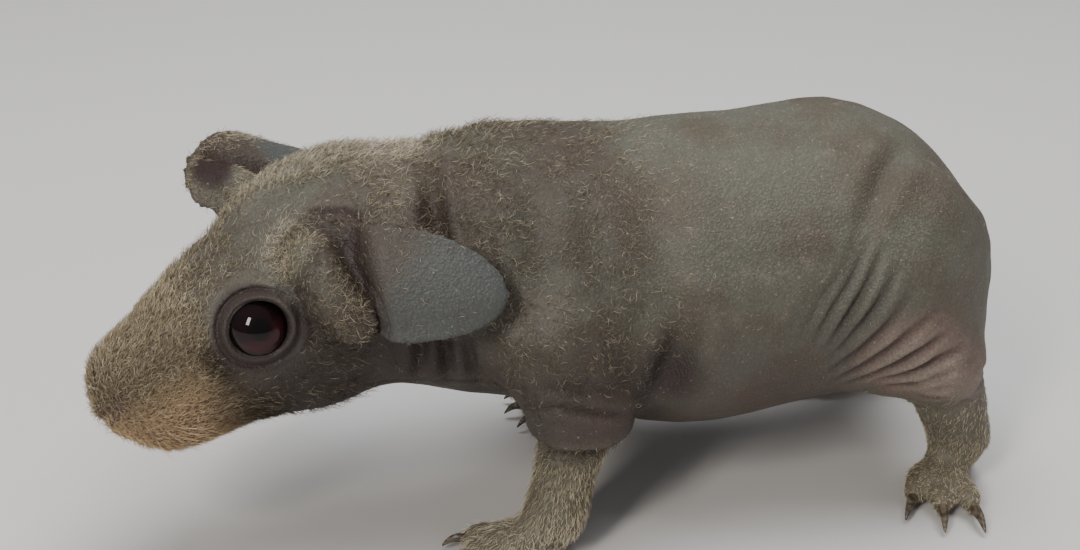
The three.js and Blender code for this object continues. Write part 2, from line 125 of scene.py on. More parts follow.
class Signal:
    """A socket in a material, so that shader maths reads as plain expressions."""

    def __init__(self, tree, socket):
        self.tree = tree
        self.socket = socket

    def node(self, kind, settings=(), sockets=(), output=0):
        made = self.tree.nodes.new(kind)
        for name, value in dict(settings).items():
            setattr(made, name, value)
        for name, value in dict(sockets).items():
            if isinstance(value, Signal):
                self.tree.links.new(value.socket, made.inputs[name])
            else:
                made.inputs[name].default_value = value
        return Signal(self.tree, made.outputs[output])

    def math(self, operation, first, second):
        return self.node("ShaderNodeMath", {"operation": operation}, {0: first, 1: second})

    def __add__(self, other):
        return self.math("ADD", self, other)

    def __sub__(self, other):
        return self.math("SUBTRACT", self, other)

    def __rsub__(self, other):
        return self.math("SUBTRACT", other, self)

    def __mul__(self, other):
        return self.math("MULTIPLY", self, other)

    __radd__ = __add__
    __rmul__ = __mul__

    def between(self, low, high):
        sockets = {"Value": self, "From Min": low, "From Max": high}
        settings = {"interpolation_type": "SMOOTHSTEP", "clamp": True}
        return self.node("ShaderNodeMapRange", settings, sockets)

    def blend(self, first, second):
        sockets = {0: self, 6: first, 7: second}
        return self.node("ShaderNodeMix", {"data_type": "RGBA"}, sockets, output=2)

    def noise(self, scale, detail=2.0, roughness=0.5):
        sockets = {"Vector": self, "Scale": scale, "Detail": detail, "Roughness": roughness}
        return self.node("ShaderNodeTexNoise", (), sockets)

    def cells(self, scale):
        return self.node("ShaderNodeTexVoronoi", (), {"Vector": self, "Scale": scale})

    def stretched(self, scale):
        return self.node("ShaderNodeMapping", (), {"Vector": self, "Scale": scale})

    def attribute(self, name):
        return self.node("ShaderNodeAttribute", {"attribute_name": name}, output=2)


def finish(name, roughness=0.6):
    """A new material, its shader and its object coordinates."""
    material = bpy.data.materials.new(name)
    material.use_nodes = True
    tree = material.node_tree
    shader = tree.nodes["Principled BSDF"]
    shader.inputs["Roughness"].default_value = roughness
    coordinates = tree.nodes.new("ShaderNodeTexCoord")
    return material, shader, Signal(tree, coordinates.outputs["Object"])


def connect(shader, name, signal):
    signal.tree.links.new(signal.socket, shader.inputs[name])


floor_form = bmesh.new()
bmesh.ops.create_grid(floor_form, x_segments=1, y_segments=1, size=FLOOR_SIZE)
floor_mesh = bpy.data.meshes.new("floor")
floor_form.to_mesh(floor_mesh)
floor = bpy.data.objects.new("floor", floor_mesh)
bpy.context.scene.collection.objects.link(floor)
floor_paint, floor_shader, _ = finish("floor_paint", 0.75)
floor_shader.inputs["Base Color"].default_value = FLOOR_COLOUR
floor_mesh.materials.append(floor_paint)


# The flesh under the skin.
# The animal's flesh is one soft body with its ears on it. The parts are brought together, their
# thin gaps are closed, and the whole is remeshed finely and relaxed until no flat facet is left.

CLOSING = 0.35  # how far each part swells to close the gap to its neighbour
SKIN_MESH = 0.78  # spacing of the skin's mesh
RELAX_ROUNDS = 60
RELAX_PULL = 0.55  # share of the way to its neighbours that a point goes in every other round
RELAX_PUSH = 0.50  # and that it goes back in the rounds between
LIMB_FREEDOM = 0.10  # legs relax this much as freely as the trunk
EAR_FREEDOM = 0.30  # and ears this much
COAT_DEPTH = 0.35  # how far the skin lies inside the parts it replaces
RUMP_TUCK = 1.3  # and how much further at the back of the rump
RUMP_NARROWING = 0.10  # share of its width that the rump loses at its rear corners
SOLE_HEIGHT = 0.02  # the skin's least height over the floor

HEAD_PLACE = np.array([-54.0, -6.0, 44.0])
HEAD_YAW = radians(18)
HEAD_PITCH = radians(28)
HEAD_FORWARD = np.array(
    [-cos(HEAD_YAW) * cos(HEAD_PITCH), -sin(HEAD_YAW) * cos(HEAD_PITCH), -sin(HEAD_PITCH)]
)
HEAD_LEFT = np.array([sin(HEAD_YAW), -cos(HEAD_YAW), 0])
HEAD_UP = np.cross(HEAD_FORWARD, HEAD_LEFT)
HEAD_AXES = np.stack([HEAD_FORWARD, HEAD_LEFT, HEAD_UP])

EAR_HALF_WIDTH = 10
EAR_HALF_THICKNESS = 0.95
EAR_WIDEST = 0.4  # share of its length at which an ear is widest
EARS = {
    "ear_left": {
        "root": (-47, -14, 49),
        "bend": (-31, -26.5, 54),
        "tip": (-11, -29, 49),
        "across": (0.12, 0.32, 0.94),
    },
    "ear_right": {
        "root": (-53, 6, 53),
        "bend": (-49, 19, 63.5),
        "tip": (-36, 31, 55),
        "across": (-0.9, -0.15, 0.35),
    },
}
EYES = {"eye_left": 1, "eye_right": -1}
# points down the lower legs to the toes
LEG_LINES = [
    [(1, -23.5, 25), (-3.5, -26, 8), (-10, -26, 2)],
    [(9, 22.5, 25), (16, 22, 8), (8, 22, 2)],
    [(62.5, -21, 27), (73, -18.5, 10), (66, -23, 2)],
    [(64, 20, 27), (76.5, 21.5, 9), (68, 22, 2)],
]
EYE_RADIUS = 5.2
SOCKET_DEPTH = 2.0  # how far inside of the eye's middle the ball that fills its socket lies
SOCKET_MARGIN = 0.5  # and how much larger than the eye it is


def ramp(value, low, high):
    share = np.clip((value - low) / (high - low), 0, 1)
    return share * share * (3 - 2 * share)


def unit(vectors):
    return vectors / np.maximum(np.linalg.norm(vectors, axis=-1, keepdims=True), 1e-9)


def in_head(points):
    """How far points lie ahead of, left of and above the middle of the head."""
    return (np.asarray(points, float) - HEAD_PLACE) @ HEAD_AXES.T


def from_head(points):
    return np.asarray(points, float) @ HEAD_AXES + HEAD_PLACE


def eye_centre(node):
    low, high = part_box(node)
    return own((low + high) / 2)


def gaze_of(side):
    """Which way the eye on that side of the head looks."""
    return unit(np.array([0.08, side * 0.93, 0.36]) @ HEAD_AXES)


def ear_breadth(along, wide):
    past = np.clip((along - EAR_WIDEST) / (1 - EAR_WIDEST), 0, 1)
    before = np.clip((EAR_WIDEST - along) / EAR_WIDEST, 0, 1)
    breadth = EAR_HALF_WIDTH * np.sqrt(np.maximum((1 - past**2.2) * (1 - 0.9 * before**4), 0))
    notch = 1.3 * np.exp(-(((along - 0.42) / 0.07) ** 2)) * ramp(-wide, 0.3, 1)
    return breadth - notch


def ear_fold(wide):
    """Where along the ear its crease runs: nearer the head at the upper rim than at the lower."""
    return 0.385 - 0.085 * wide


def ear_form(ear, along, wide, thick):
    """Points of an ear: a petal along a bent spine, its rims curled in and a crease across it."""
    shape = (np.array(ear[key], float) for key in ("root", "bend", "tip", "across"))
    root, bend, tip, across = shape
    t = along[:, None]
    spine = root * (1 - t) ** 2 + bend * 2 * t * (1 - t) + tip * t**2
    tangent = unit((bend - root) * (1 - t) + (tip - bend) * t)
    over = unit(across - tangent * (tangent @ across)[:, None])
    outward = np.cross(tangent, over)
    middle = 1 - wide**2
    pinch = 2.8 - 1.5 * ramp(np.abs(wide), 0.55, 1)
    relief = -2.5 * wide**2 - pinch * np.exp(-(((along - ear_fold(wide)) / 0.06) ** 2))
    relief += 2.3 * np.exp(-(((along - 0.19) / 0.12) ** 2)) * middle
    relief -= 0.9 * ramp(along, 0.45, 0.7) * middle
    relief += 0.7 * np.exp(-(((np.abs(wide) - 0.93) / 0.08) ** 2)) * ramp(along, 0.3, 0.5)
    half = EAR_HALF_THICKNESS * np.sign(thick) * np.abs(thick) ** 0.45
    half = half * np.minimum(1, 4 * np.sqrt(1 - along))
    return (
        spine
        + over * (wide * ear_breadth(along, wide))[:, None]
        + outward * (relief + half)[:, None]
    )


flesh_nodes = [
    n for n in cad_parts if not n.startswith(("eye_", "ear_")) and "_claw_" not in n
]
flesh = bmesh.new()
for node in flesh_nodes:
    part = bmesh.new()
    part.from_mesh(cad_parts[node].data)
    bmesh.ops.remove_doubles(part, verts=part.verts, dist=1e-6)
    part.normal_update()
    for corner in part.verts:
        corner.co += corner.normal * CLOSING * MM
    swollen = bpy.data.meshes.new(node)
    part.to_mesh(swollen)
    flesh.from_mesh(swollen)
    bpy.data.meshes.remove(swollen)
    part.free()

for node, side in EYES.items():
    behind = eye_centre(node) - HEAD_LEFT * side * SOCKET_DEPTH
    bmesh.ops.create_uvsphere(
        flesh,
        u_segments=24,
        v_segments=16,
        radius=(EYE_RADIUS + SOCKET_MARGIN) * MM,
        matrix=Matrix.Translation(placed(behind)),
    )

for ear in EARS.values():
    petal = bmesh.ops.create_uvsphere(flesh, u_segments=64, v_segments=48, radius=1)["verts"]
    ball = np.array([corner.co for corner in petal])
    ring = np.sqrt(np.maximum(1 - ball[:, 2] ** 2, 0))
    wide = np.where(ring > 1e-6, ball[:, 0] / np.maximum(ring, 1e-6), 0)
    thick = np.where(ring > 1e-6, -ball[:, 1] / np.maximum(ring, 1e-6), 0)
    for corner, spot in zip(petal, placed(ear_form(ear, (1 - ball[:, 2]) / 2, wide, thick))):
        corner.co = spot
bmesh.ops.recalc_face_normals(flesh, faces=flesh.faces)

rough_mesh = bpy.data.meshes.new("flesh")
flesh.to_mesh(rough_mesh)
flesh.free()
skin = bpy.data.objects.new("skin", rough_mesh)
bpy.context.scene.collection.objects.link(skin)
remesh = skin.modifiers.new("remesh", "REMESH")
remesh.mode = "VOXEL"
remesh.voxel_size = SKIN_MESH * MM
depsgraph = bpy.context.evaluated_depsgraph_get()
whole = bpy.data.meshes.new_from_object(skin.evaluated_get(depsgraph))
skin.modifiers.clear()
skin.data = whole
bpy.data.meshes.remove(rough_mesh)


def points_of(mesh):
    flat = np.zeros(len(mesh.vertices) * 3, np.float32)
    mesh.vertices.foreach_get("co", flat)
    return own(flat.reshape(-1, 3))


def move_to(mesh, points):
    mesh.vertices.foreach_set("co", placed(points).astype(np.float32).ravel())
    mesh.update()


def normals_of(mesh):
    flat = np.zeros(len(mesh.vertices) * 3, np.float32)
    mesh.vertex_normals.foreach_get("vector", flat)
    return flat.reshape(-1, 3).astype(float)


def smooth(mesh):
    for polygon in mesh.polygons:
        polygon.use_smooth = True


def relaxed(mesh, points, share, rounds):
    """Points drawn towards their neighbours, and back again so that nothing shrinks."""
    flat = np.zeros(len(mesh.edges) * 2, np.int32)
    mesh.edges.foreach_get("vertices", flat)
    first, second = flat.reshape(-1, 2).T
    here, there = np.r_[first, second], np.r_[second, first]
    count = np.maximum(np.bincount(here, minlength=len(points)), 1)
    for turn in range(rounds):
        pull = RELAX_PULL if turn % 2 == 0 else -RELAX_PUSH
        total = [np.bincount(here, points[there, axis], len(points)) for axis in range(3)]
        points = points + (np.stack(total, 1) / count[:, None] - points) * (share * pull)[:, None]
    return points


def near_ear(points):
    """How far points are from the nearer ear's middle sheet, where on it, and on its outer side."""
    grid = np.meshgrid(np.linspace(0.04, 1, 25), np.linspace(-1, 1, 17))
    along, wide = (axis.ravel() for axis in grid)
    found = [np.full(len(points), 99.0), *(np.zeros(len(points)) for _ in range(3))]
    for ear in EARS.values():
        sheet = ear_form(ear, along, wide, np.zeros(len(along)))
        low, high = sheet.min(0) - 3, sheet.max(0) + 3
        close = np.flatnonzero(((points > low) & (points < high)).all(1))
        gap = np.linalg.norm(points[close, None] - sheet[None], axis=2)
        nearest = gap.argmin(1)
        facing = unit(ear_form(ear, along, wide * 0.9, np.ones(len(along))) - sheet)[nearest]
        outer = ((points[close] - sheet[nearest]) * facing).sum(1)
        better = gap.min(1) < found[0][close]
        for kept, value in zip(found, (gap.min(1), along[nearest], wide[nearest], outer)):
            kept[close[better]] = value[better]
    return found


def distance_to(points, line):
    """How far points lie from a line of points, and what share of its length lies before each."""
    best = np.full(len(points), 99.0)
    share = np.zeros(len(points))
    near = np.flatnonzero(((points > line.min(0) - 14) & (points < line.max(0) + 14)).all(1))
    lengths = np.linalg.norm(np.diff(line, axis=0), axis=1)
    before = np.r_[0, np.cumsum(lengths)]
    for start, end, length, so_far in zip(line[:-1], line[1:], lengths, before):
        run = end - start
        along = np.clip((points[near] - start) @ run / (run @ run), 0, 1)
        gap = np.linalg.norm(points[near] - start - along[:, None] * run, axis=1)
        closer = gap < best[near]
        share[near[closer]] = ((so_far + along * length) / before[-1])[closer]
        best[near[closer]] = gap[closer]
    return best, share


def paw_share(points):
    """1 on the lower legs and feet, 0 on the rest."""
    gap = np.minimum.reduce([distance_to(points, np.array(line, float))[0] for line in LEG_LINES])
    return (1 - ramp(points[:, 2], 17, 25)) * (1 - ramp(gap, 9, 12))


body_points = points_of(whole)
ear_gap, ear_along, *_ = near_ear(body_points)
ear_share = (1 - ramp(ear_gap, 1.2, 3.0)) * ramp(ear_along, 0.08, 0.25)
limb_share = paw_share(body_points)
freedom = 1 - np.maximum((1 - EAR_FREEDOM) * ear_share, (1 - LIMB_FREEDOM) * limb_share)
body_points = relaxed(whole, body_points, freedom, RELAX_ROUNDS)
move_to(whole, body_points)
depth = CLOSING + COAT_DEPTH * (1 - np.maximum(ear_share, limb_share))
body_points -= normals_of(whole) * depth[:, None]
body_points[:, 0] -= RUMP_TUCK * ramp(body_points[:, 0], 45, 76) * ramp(body_points[:, 2], 26, 42)
rear = ramp(body_points[:, 0], 58, 77) * ramp(body_points[:, 2], 27, 42)
body_points[:, 1] *= 1 - RUMP_NARROWING * rear
body_points[:, 2] = np.maximum(body_points[:, 2], SOLE_HEIGHT)
move_to(whole, body_points)


# The face.
# Round lids hug the eyes and fold once more outside. The nose has two slits over a short cleft, and
# the lips close under the blunt muzzle. The mesh is made finer here, and its points are moved.

LID_WIDE = 4.55
LID_TALL = 4.3
NOSE_LINES = {
    # points ahead of, left of and above the middle of the head, half width and depth
    "nostril": (
        [(26.8, 1.2, -5.0), (26.8, 2.4, -3.0), (25.4, 4.6, -1.4), (24.6, 5.4, -1.6)],
        0.75,
        2.0,
    ),
    "wing": ([(25.6, 2.4, 0.6), (24.2, 5.0, 0.2), (22.4, 6.0, -2.2)], 0.9, 0.35),
    "cleft": ([(27.3, 0, -3.5), (27.0, 0, -7.0), (25.0, 0, -10.5)], 0.6, 1.2),
    "lips": (
        [
            (26.2, -2.0, -9.6),
            (25.3, 1.0, -9.9),
            (23.5, 3.4, -9.7),
            (20.0, 6.4, -9.4),
            (13.5, 9.0, -9.8),
        ],
        0.7,
        1.5,
    ),
}


def finer(mesh, centre, reach):
    """Splits the mesh's faces once within reach of a point."""
    form = bmesh.new()
    form.from_mesh(mesh)
    middle = Vector(placed(centre))
    chosen = [
        edge
        for edge in form.edges
        if all((end.co - middle).length < reach * MM for end in edge.verts)
    ]
    bmesh.ops.subdivide_edges(form, edges=chosen, cuts=1, use_grid_fill=True)
    many_sided = [face for face in form.faces if len(face.verts) > 4]
    bmesh.ops.triangulate(form, faces=many_sided)
    form.to_mesh(mesh)
    form.free()


def rounded(line, rounds=2):
    """A line of points with its corners cut, so that it bends smoothly."""
    line = np.array(line, float)
    for _ in range(rounds):
        near, far = line[:-1] * 0.75 + line[1:] * 0.25, line[:-1] * 0.25 + line[1:] * 0.75
        line = np.concatenate([line[:1], np.stack([near, far], 1).reshape(-1, 3), line[-1:]])
    return line


def creased(points, normals, line, width, depth, lip=0.4, share=1.0):
    """Points lowered along a line that fades at its ends, with a low lip on each side of it."""
    away, along = distance_to(points, line)
    fade = np.sin(np.pi * np.clip(along * 0.96 + 0.02, 0, 1)) ** 0.8 * share
    valley = np.exp(-((away / width) ** 2)) * fade
    ridge = np.exp(-(((away - 2.0 * width) / width) ** 2)) * fade
    return points + normals * (depth * (lip * ridge - valley))[:, None], valley, ridge


def lid_ring(points):
    """How many eye radii points lie from the nearer eye."""
    gaps = [np.linalg.norm(points - eye_centre(node), axis=1) for node in EYES]
    return np.minimum(*gaps) / EYE_RADIUS


def lidded(points, centre, side):
    """Points round one eye, shaped as its lids."""
    gaze = gaze_of(side)
    slit = unit(HEAD_FORWARD - gaze * (HEAD_FORWARD @ gaze) + HEAD_UP * 0.10)
    slit = unit(slit - gaze * (slit @ gaze))
    rise = np.cross(gaze, slit) * side
    x, y, height = ((points - centre) @ axis for axis in (slit, rise, gaze))
    ring = np.hypot(x / LID_WIDE, y / LID_TALL)
    out = np.hypot(x, y)
    face = (ring > 1.5) & (ring < 2.1) & (height > -1.5)
    terms = np.stack([np.ones_like(x), x, y, x * x, x * y, y * y], 1)
    bend, *_ = np.linalg.lstsq(terms[face], height[face], rcond=None)
    natural = terms @ bend
    ball = np.sqrt(np.maximum(EYE_RADIUS**2 - out**2, 0))
    roll = 0.65 * np.exp(-(((ring - 1.17) / 0.13) ** 2))
    groove = 0.50 * np.exp(-(((ring - 1.43) / 0.09) ** 2))
    second = 0.15 * np.exp(-(((ring - 1.60) / 0.10) ** 2))
    lid = np.maximum(natural + roll - groove + second, np.where(ring < 1.25, ball + 0.30, -9))
    inside = 1 - ramp(ring, 0.96, 1.03)
    target = lid * (1 - inside) + (ball - 1.0) * inside
    share = (1 - ramp(ring, 1.65, 2.0)) * (height > -2.5)
    return points + gaze * ((target - height) * share)[:, None]


for node in EYES:
    finer(whole, eye_centre(node), 8.4)
    finer(whole, eye_centre(node), 6.9)
finer(whole, from_head((24, 0, -6)), 8.5)

skin_points = points_of(whole)
for node, side in EYES.items():
    skin_points = lidded(skin_points, eye_centre(node), side)
move_to(whole, skin_points)


def nose_gap(points, name):
    """How far points lie from the nose line of that name, on either side of the face."""
    lines = [rounded(from_head(np.array(NOSE_LINES[name][0]) * (1, side, 1))) for side in (1, -1)]
    return np.minimum(*(distance_to(points, line)[0] for line in lines))


for line, width, depth in NOSE_LINES.values():
    for side in (1, -1):
        traced = rounded(from_head(np.array(line) * (1, side, 1)))
        skin_points, *_ = creased(skin_points, normals_of(whole), traced, width, depth, 0.35)
move_to(whole, skin_points)


# The folds of the loose skin.
# Skin hangs loose on the flank, at the elbow and on the neck, and gathers in creases where a leg
# or the head has moved. Each crease is a line that is pressed in, with a low lip along each side.

# points in the animal's frame on its left side, half width and depth; the right side mirrors them
FOLDS = {
    "thigh_front": (
        [(62, -10, 65), (55, -17, 62.5), (50.5, -21.8, 58), (47.5, -24.5, 52.5)],
        1.9,
        1.0,
    ),
    "flank_1": (
        [(48.5, -23, 56), (46, -25.5, 50.5), (43, -26.5, 46), (40, -26.7, 42), (37, -27, 35)],
        0.9,
        0.75,
    ),
    "flank_2": (
        [
            (49.5, -24.5, 54),
            (47, -26, 49),
            (44.6, -27, 44.5),
            (42.2, -27, 40.5),
            (39.8, -26.5, 33.5),
        ],
        0.75,
        0.95,
    ),
    "flank_3": (
        [(51, -26, 51.5), (48.2, -27, 45), (45.8, -27, 40.5), (43.8, -26.7, 36), (42, -26, 31)],
        0.75,
        0.9,
    ),
    "flank_4": (
        [
            (53.5, -27.5, 49),
            (50.8, -28.3, 43.4),
            (48.2, -27.8, 38.9),
            (45.8, -26.7, 34.5),
            (43, -25, 29.5),
        ],
        0.75,
        0.95,
    ),
    "flank_5": (
        [(56, -28.7, 45), (53, -28.6, 39.5), (50.2, -27.3, 35.2), (47, -25, 30.5), (44, -23, 27)],
        0.8,
        0.8,
    ),
    "flank_6": ([(44.5, -24.2, 52), (40.5, -26, 46), (36.8, -27, 40.5), (34.5, -27, 35)], 1.1, 0.4),
    "groin_1": (
        [(61, -29, 41), (57, -28.9, 37.5), (53, -27.6, 33), (49.5, -24.8, 28.5), (46, -21, 25)],
        0.8,
        0.85,
    ),
    "groin_2": (
        [(65, -28.7, 37), (59.5, -28.9, 34), (55, -27.2, 30), (51.4, -24, 26.5), (48, -20, 24)],
        0.75,
        0.95,
    ),
    "groin_3": (
        [(67, -28.2, 33), (61, -28.8, 30.8), (56.5, -26.8, 27.8), (52.5, -23.5, 25)],
        0.7,
        0.9,
    ),
    "groin_4": (
        [(69, -27.6, 29.8), (63, -28.5, 28.4), (58.5, -26.5, 26), (55.5, -23.5, 24)],
        0.65,
        0.8,
    ),
    "shank_1": (
        [(58.5, -25.5, 25), (62.5, -28.2, 26), (68, -28, 26.4), (73.5, -24, 26.5)],
        0.65,
        0.8,
    ),
    "shank_2": ([(60, -26, 23), (64.5, -28, 23.8), (70, -26.8, 24), (75, -22, 24)], 0.6, 0.7),
    "behind_shoulder": (
        [(14.6, -8, 65), (13.6, -20, 56), (15, -26, 46), (17.5, -26.5, 38), (18.6, -25, 28)],
        3.4,
        1.0,
    ),
    "armpit": ([(18.5, -26, 43), (17.5, -25.5, 37), (15, -24.7, 31), (12, -24, 24)], 2.6, 2.0),
    "shoulder_front": ([(-8, -25, 45), (-7, -27, 38), (-3, -29.5, 33), (3, -30, 32)], 2.2, 0.7),
    "nape": (
        [(-21, -6, 64), (-20.6, -11, 61.5), (-21, -14.5, 58.5), (-20, -18, 53), (-19, -20, 47)],
        1.6,
        1.9,
    ),
    "neck_1": ([(-25, -21, 45), (-24, -18.6, 36), (-24.6, -15, 29)], 1.0, 1.3),
    "neck_2": ([(-20.9, -20.4, 44), (-19.9, -18.8, 34), (-19.1, -15.5, 28.5)], 0.9, 1.1),
    "neck_3": ([(-17.1, -20.9, 41), (-15.9, -19.5, 33.3), (-14.4, -17, 28.6)], 0.8, 0.8),
    "throat": (
        [(-32, -12, 28.6), (-20, -15, 28.4), (-12.5, -17.5, 28.8), (-6, -24, 30.5)],
        0.9,
        1.0,
    ),
    "sleeve_hem": (
        [
            (-9.5, -20, 24),
            (-6, -25.5, 21.4),
            (-2.4, -29, 20.8),
            (3.5, -29.3, 20.8),
            (9, -27, 21.6),
            (12, -21, 23),
        ],
        1.0,
        1.7,
    ),
    "sleeve_fold": (
        [(-9, -25.5, 28), (-3.5, -30, 30.2), (0, -30.3, 29.4), (3.6, -30.3, 28.2), (9, -28, 26.5)],
        0.7,
        0.9,
    ),
    "sleeve_crest": (
        [(-9, -25, 33), (-3.5, -30, 33.6), (6.2, -28.7, 31.5), (11, -26, 30.5)],
        0.9,
        0.45,
    ),
    "rib": ([(-4, -4, 66), (-4.8, -16, 60.5), (-5.3, -20.6, 53.7), (-4, -25.5, 44)], 2.4, 0.8),
}
# grooves between the left ear's base and the head
EAR_GROOVES = [
    [
        (-44, -14.5, 56),
        (-45.3, -17, 52.3),
        (-44.5, -18.6, 48.5),
        (-42, -19.4, 44.8),
        (-38, -20, 41),
        (-31, -20, 39),
    ],
    [(-42, -14.5, 57.5), (-36.5, -14.5, 59.5), (-30, -15, 60), (-24, -17, 58.5)],
]
EAR_BASE = [(-40.5, -17.6, 53.6), (-38.5, -19.7, 49), (-35, -21.3, 45)]
SLEEVE = (1.5, -27.5, 24.8)
FAR_EAR_HOLLOW = (-54.9, 12.6, 58.6)  # the opening of the right ear, under its curled front rim

skin_points = points_of(whole)
opening = np.linalg.norm((skin_points - FAR_EAR_HOLLOW) / (4.0, 5.0, 3.2), axis=1)
towards_camera = EYE_TO_TARGET * ramp(normals_of(whole) @ EYE_TO_TARGET, 0.1, 0.5)[:, None]
skin_points -= towards_camera * (1.3 * np.exp(-(opening**2)))[:, None]
puff = np.exp(-((np.linalg.norm((skin_points - SLEEVE) / (9, 6, 3.2), axis=1)) ** 2))
skin_points += normals_of(whole) * (1.3 * puff)[:, None]
base_gap = distance_to(skin_points, rounded(EAR_BASE))[0]
off_lid = ramp(lid_ring(skin_points), 1.45, 1.75)
skin_points += HEAD_LEFT * (1.9 * (1 - ramp(base_gap, 2.8, 4.6)) * off_lid)[:, None]
base_groove = np.exp(-(((base_gap - 5.2) / 0.9) ** 2)) * off_lid
move_to(whole, skin_points)
skin_points -= normals_of(whole) * (0.9 * base_groove)[:, None]
move_to(whole, skin_points)
ear_gap, ear_along, *_ = near_ear(skin_points)
off_ear = ramp(ear_gap, 1.0, 1.9)
# how deep each point lies in a crease, kept for painted shade in the creases
valleys = 0.9 * base_groove * off_ear
ridges = np.zeros(len(skin_points))
for line in EAR_GROOVES:
    skin_points, valley, _ = creased(
        skin_points, normals_of(whole), rounded(line), 1.1, 2.1, 0.0, off_ear
    )
    valleys = np.maximum(valleys, valley)
move_to(whole, skin_points)
for name, (line, width, depth) in FOLDS.items():
    for side in (1, -1):
        traced = rounded(np.array(line, float) * (1, side, 1))
        skin_points, valley, ridge = creased(
            skin_points, normals_of(whole), traced, width, depth, 0.4, off_ear
        )
        if width < 2:
            valleys = np.maximum(valleys, valley * min(1, depth) * min(1, 0.9 / width) ** 2)
            ridges = np.maximum(ridges, ridge * min(1, depth))
    move_to(whole, skin_points)


# The skin.
# It is bare, thin and dull: slate grey on the back, browner on the flank, pinkish where it is
# stretched or shaded, with a fine leathery grain. The pink low on the belly is partly its own tone
# and partly painted reddish bounce light. Shade is painted into its colour too: in the creases,
# hollows and nostrils, round the eyes, under the head, neck and chest, down the lower flank and
# over the front of the near ear. A painted sheen lies along the top of the neck, on the ears' rear
# lobes and on the crease ridges. The markings are fields that the coat shares, and the painted
# shade and sheen are fields among them.

SLATE = (0.112, 0.112, 0.086, 1)
UMBER = (0.096, 0.083, 0.062, 1)
ROSY = (0.170, 0.105, 0.088, 1)
CREAM = (0.36, 0.32, 0.25, 1)
SHADED = (0.022, 0.012, 0.011, 1)
LOBE_WITH_SHEEN = (0.074, 0.081, 0.076, 1)
EAR_BROWN = (0.056, 0.043, 0.035, 1)
LID = (0.030, 0.019, 0.017, 1)
SNOUT_SKIN = (0.200, 0.125, 0.072, 1)
NOSE_SKIN = (0.130, 0.066, 0.054, 1)
PAW_SKIN = (0.150, 0.132, 0.090, 1)


def ball_of(points, centre, radius, edge=0.5):
    """1 inside a ball, fading to 0 at its edge, on both sides of the animal."""
    centre = np.array(centre, float)
    mirrored = centre * (1, -1, 1)
    gap = np.minimum(
        np.linalg.norm(points - centre, axis=1), np.linalg.norm(points - mirrored, axis=1)
    )
    return 1 - ramp(gap, radius * (1 - edge), radius)


def hollow_gap(points):
    """How far points lie from the middle of the right ear's opening, 1 at about its edge."""
    return np.linalg.norm((points - FAR_EAR_HOLLOW) / (4.2, 5.4, 3.4), axis=1)


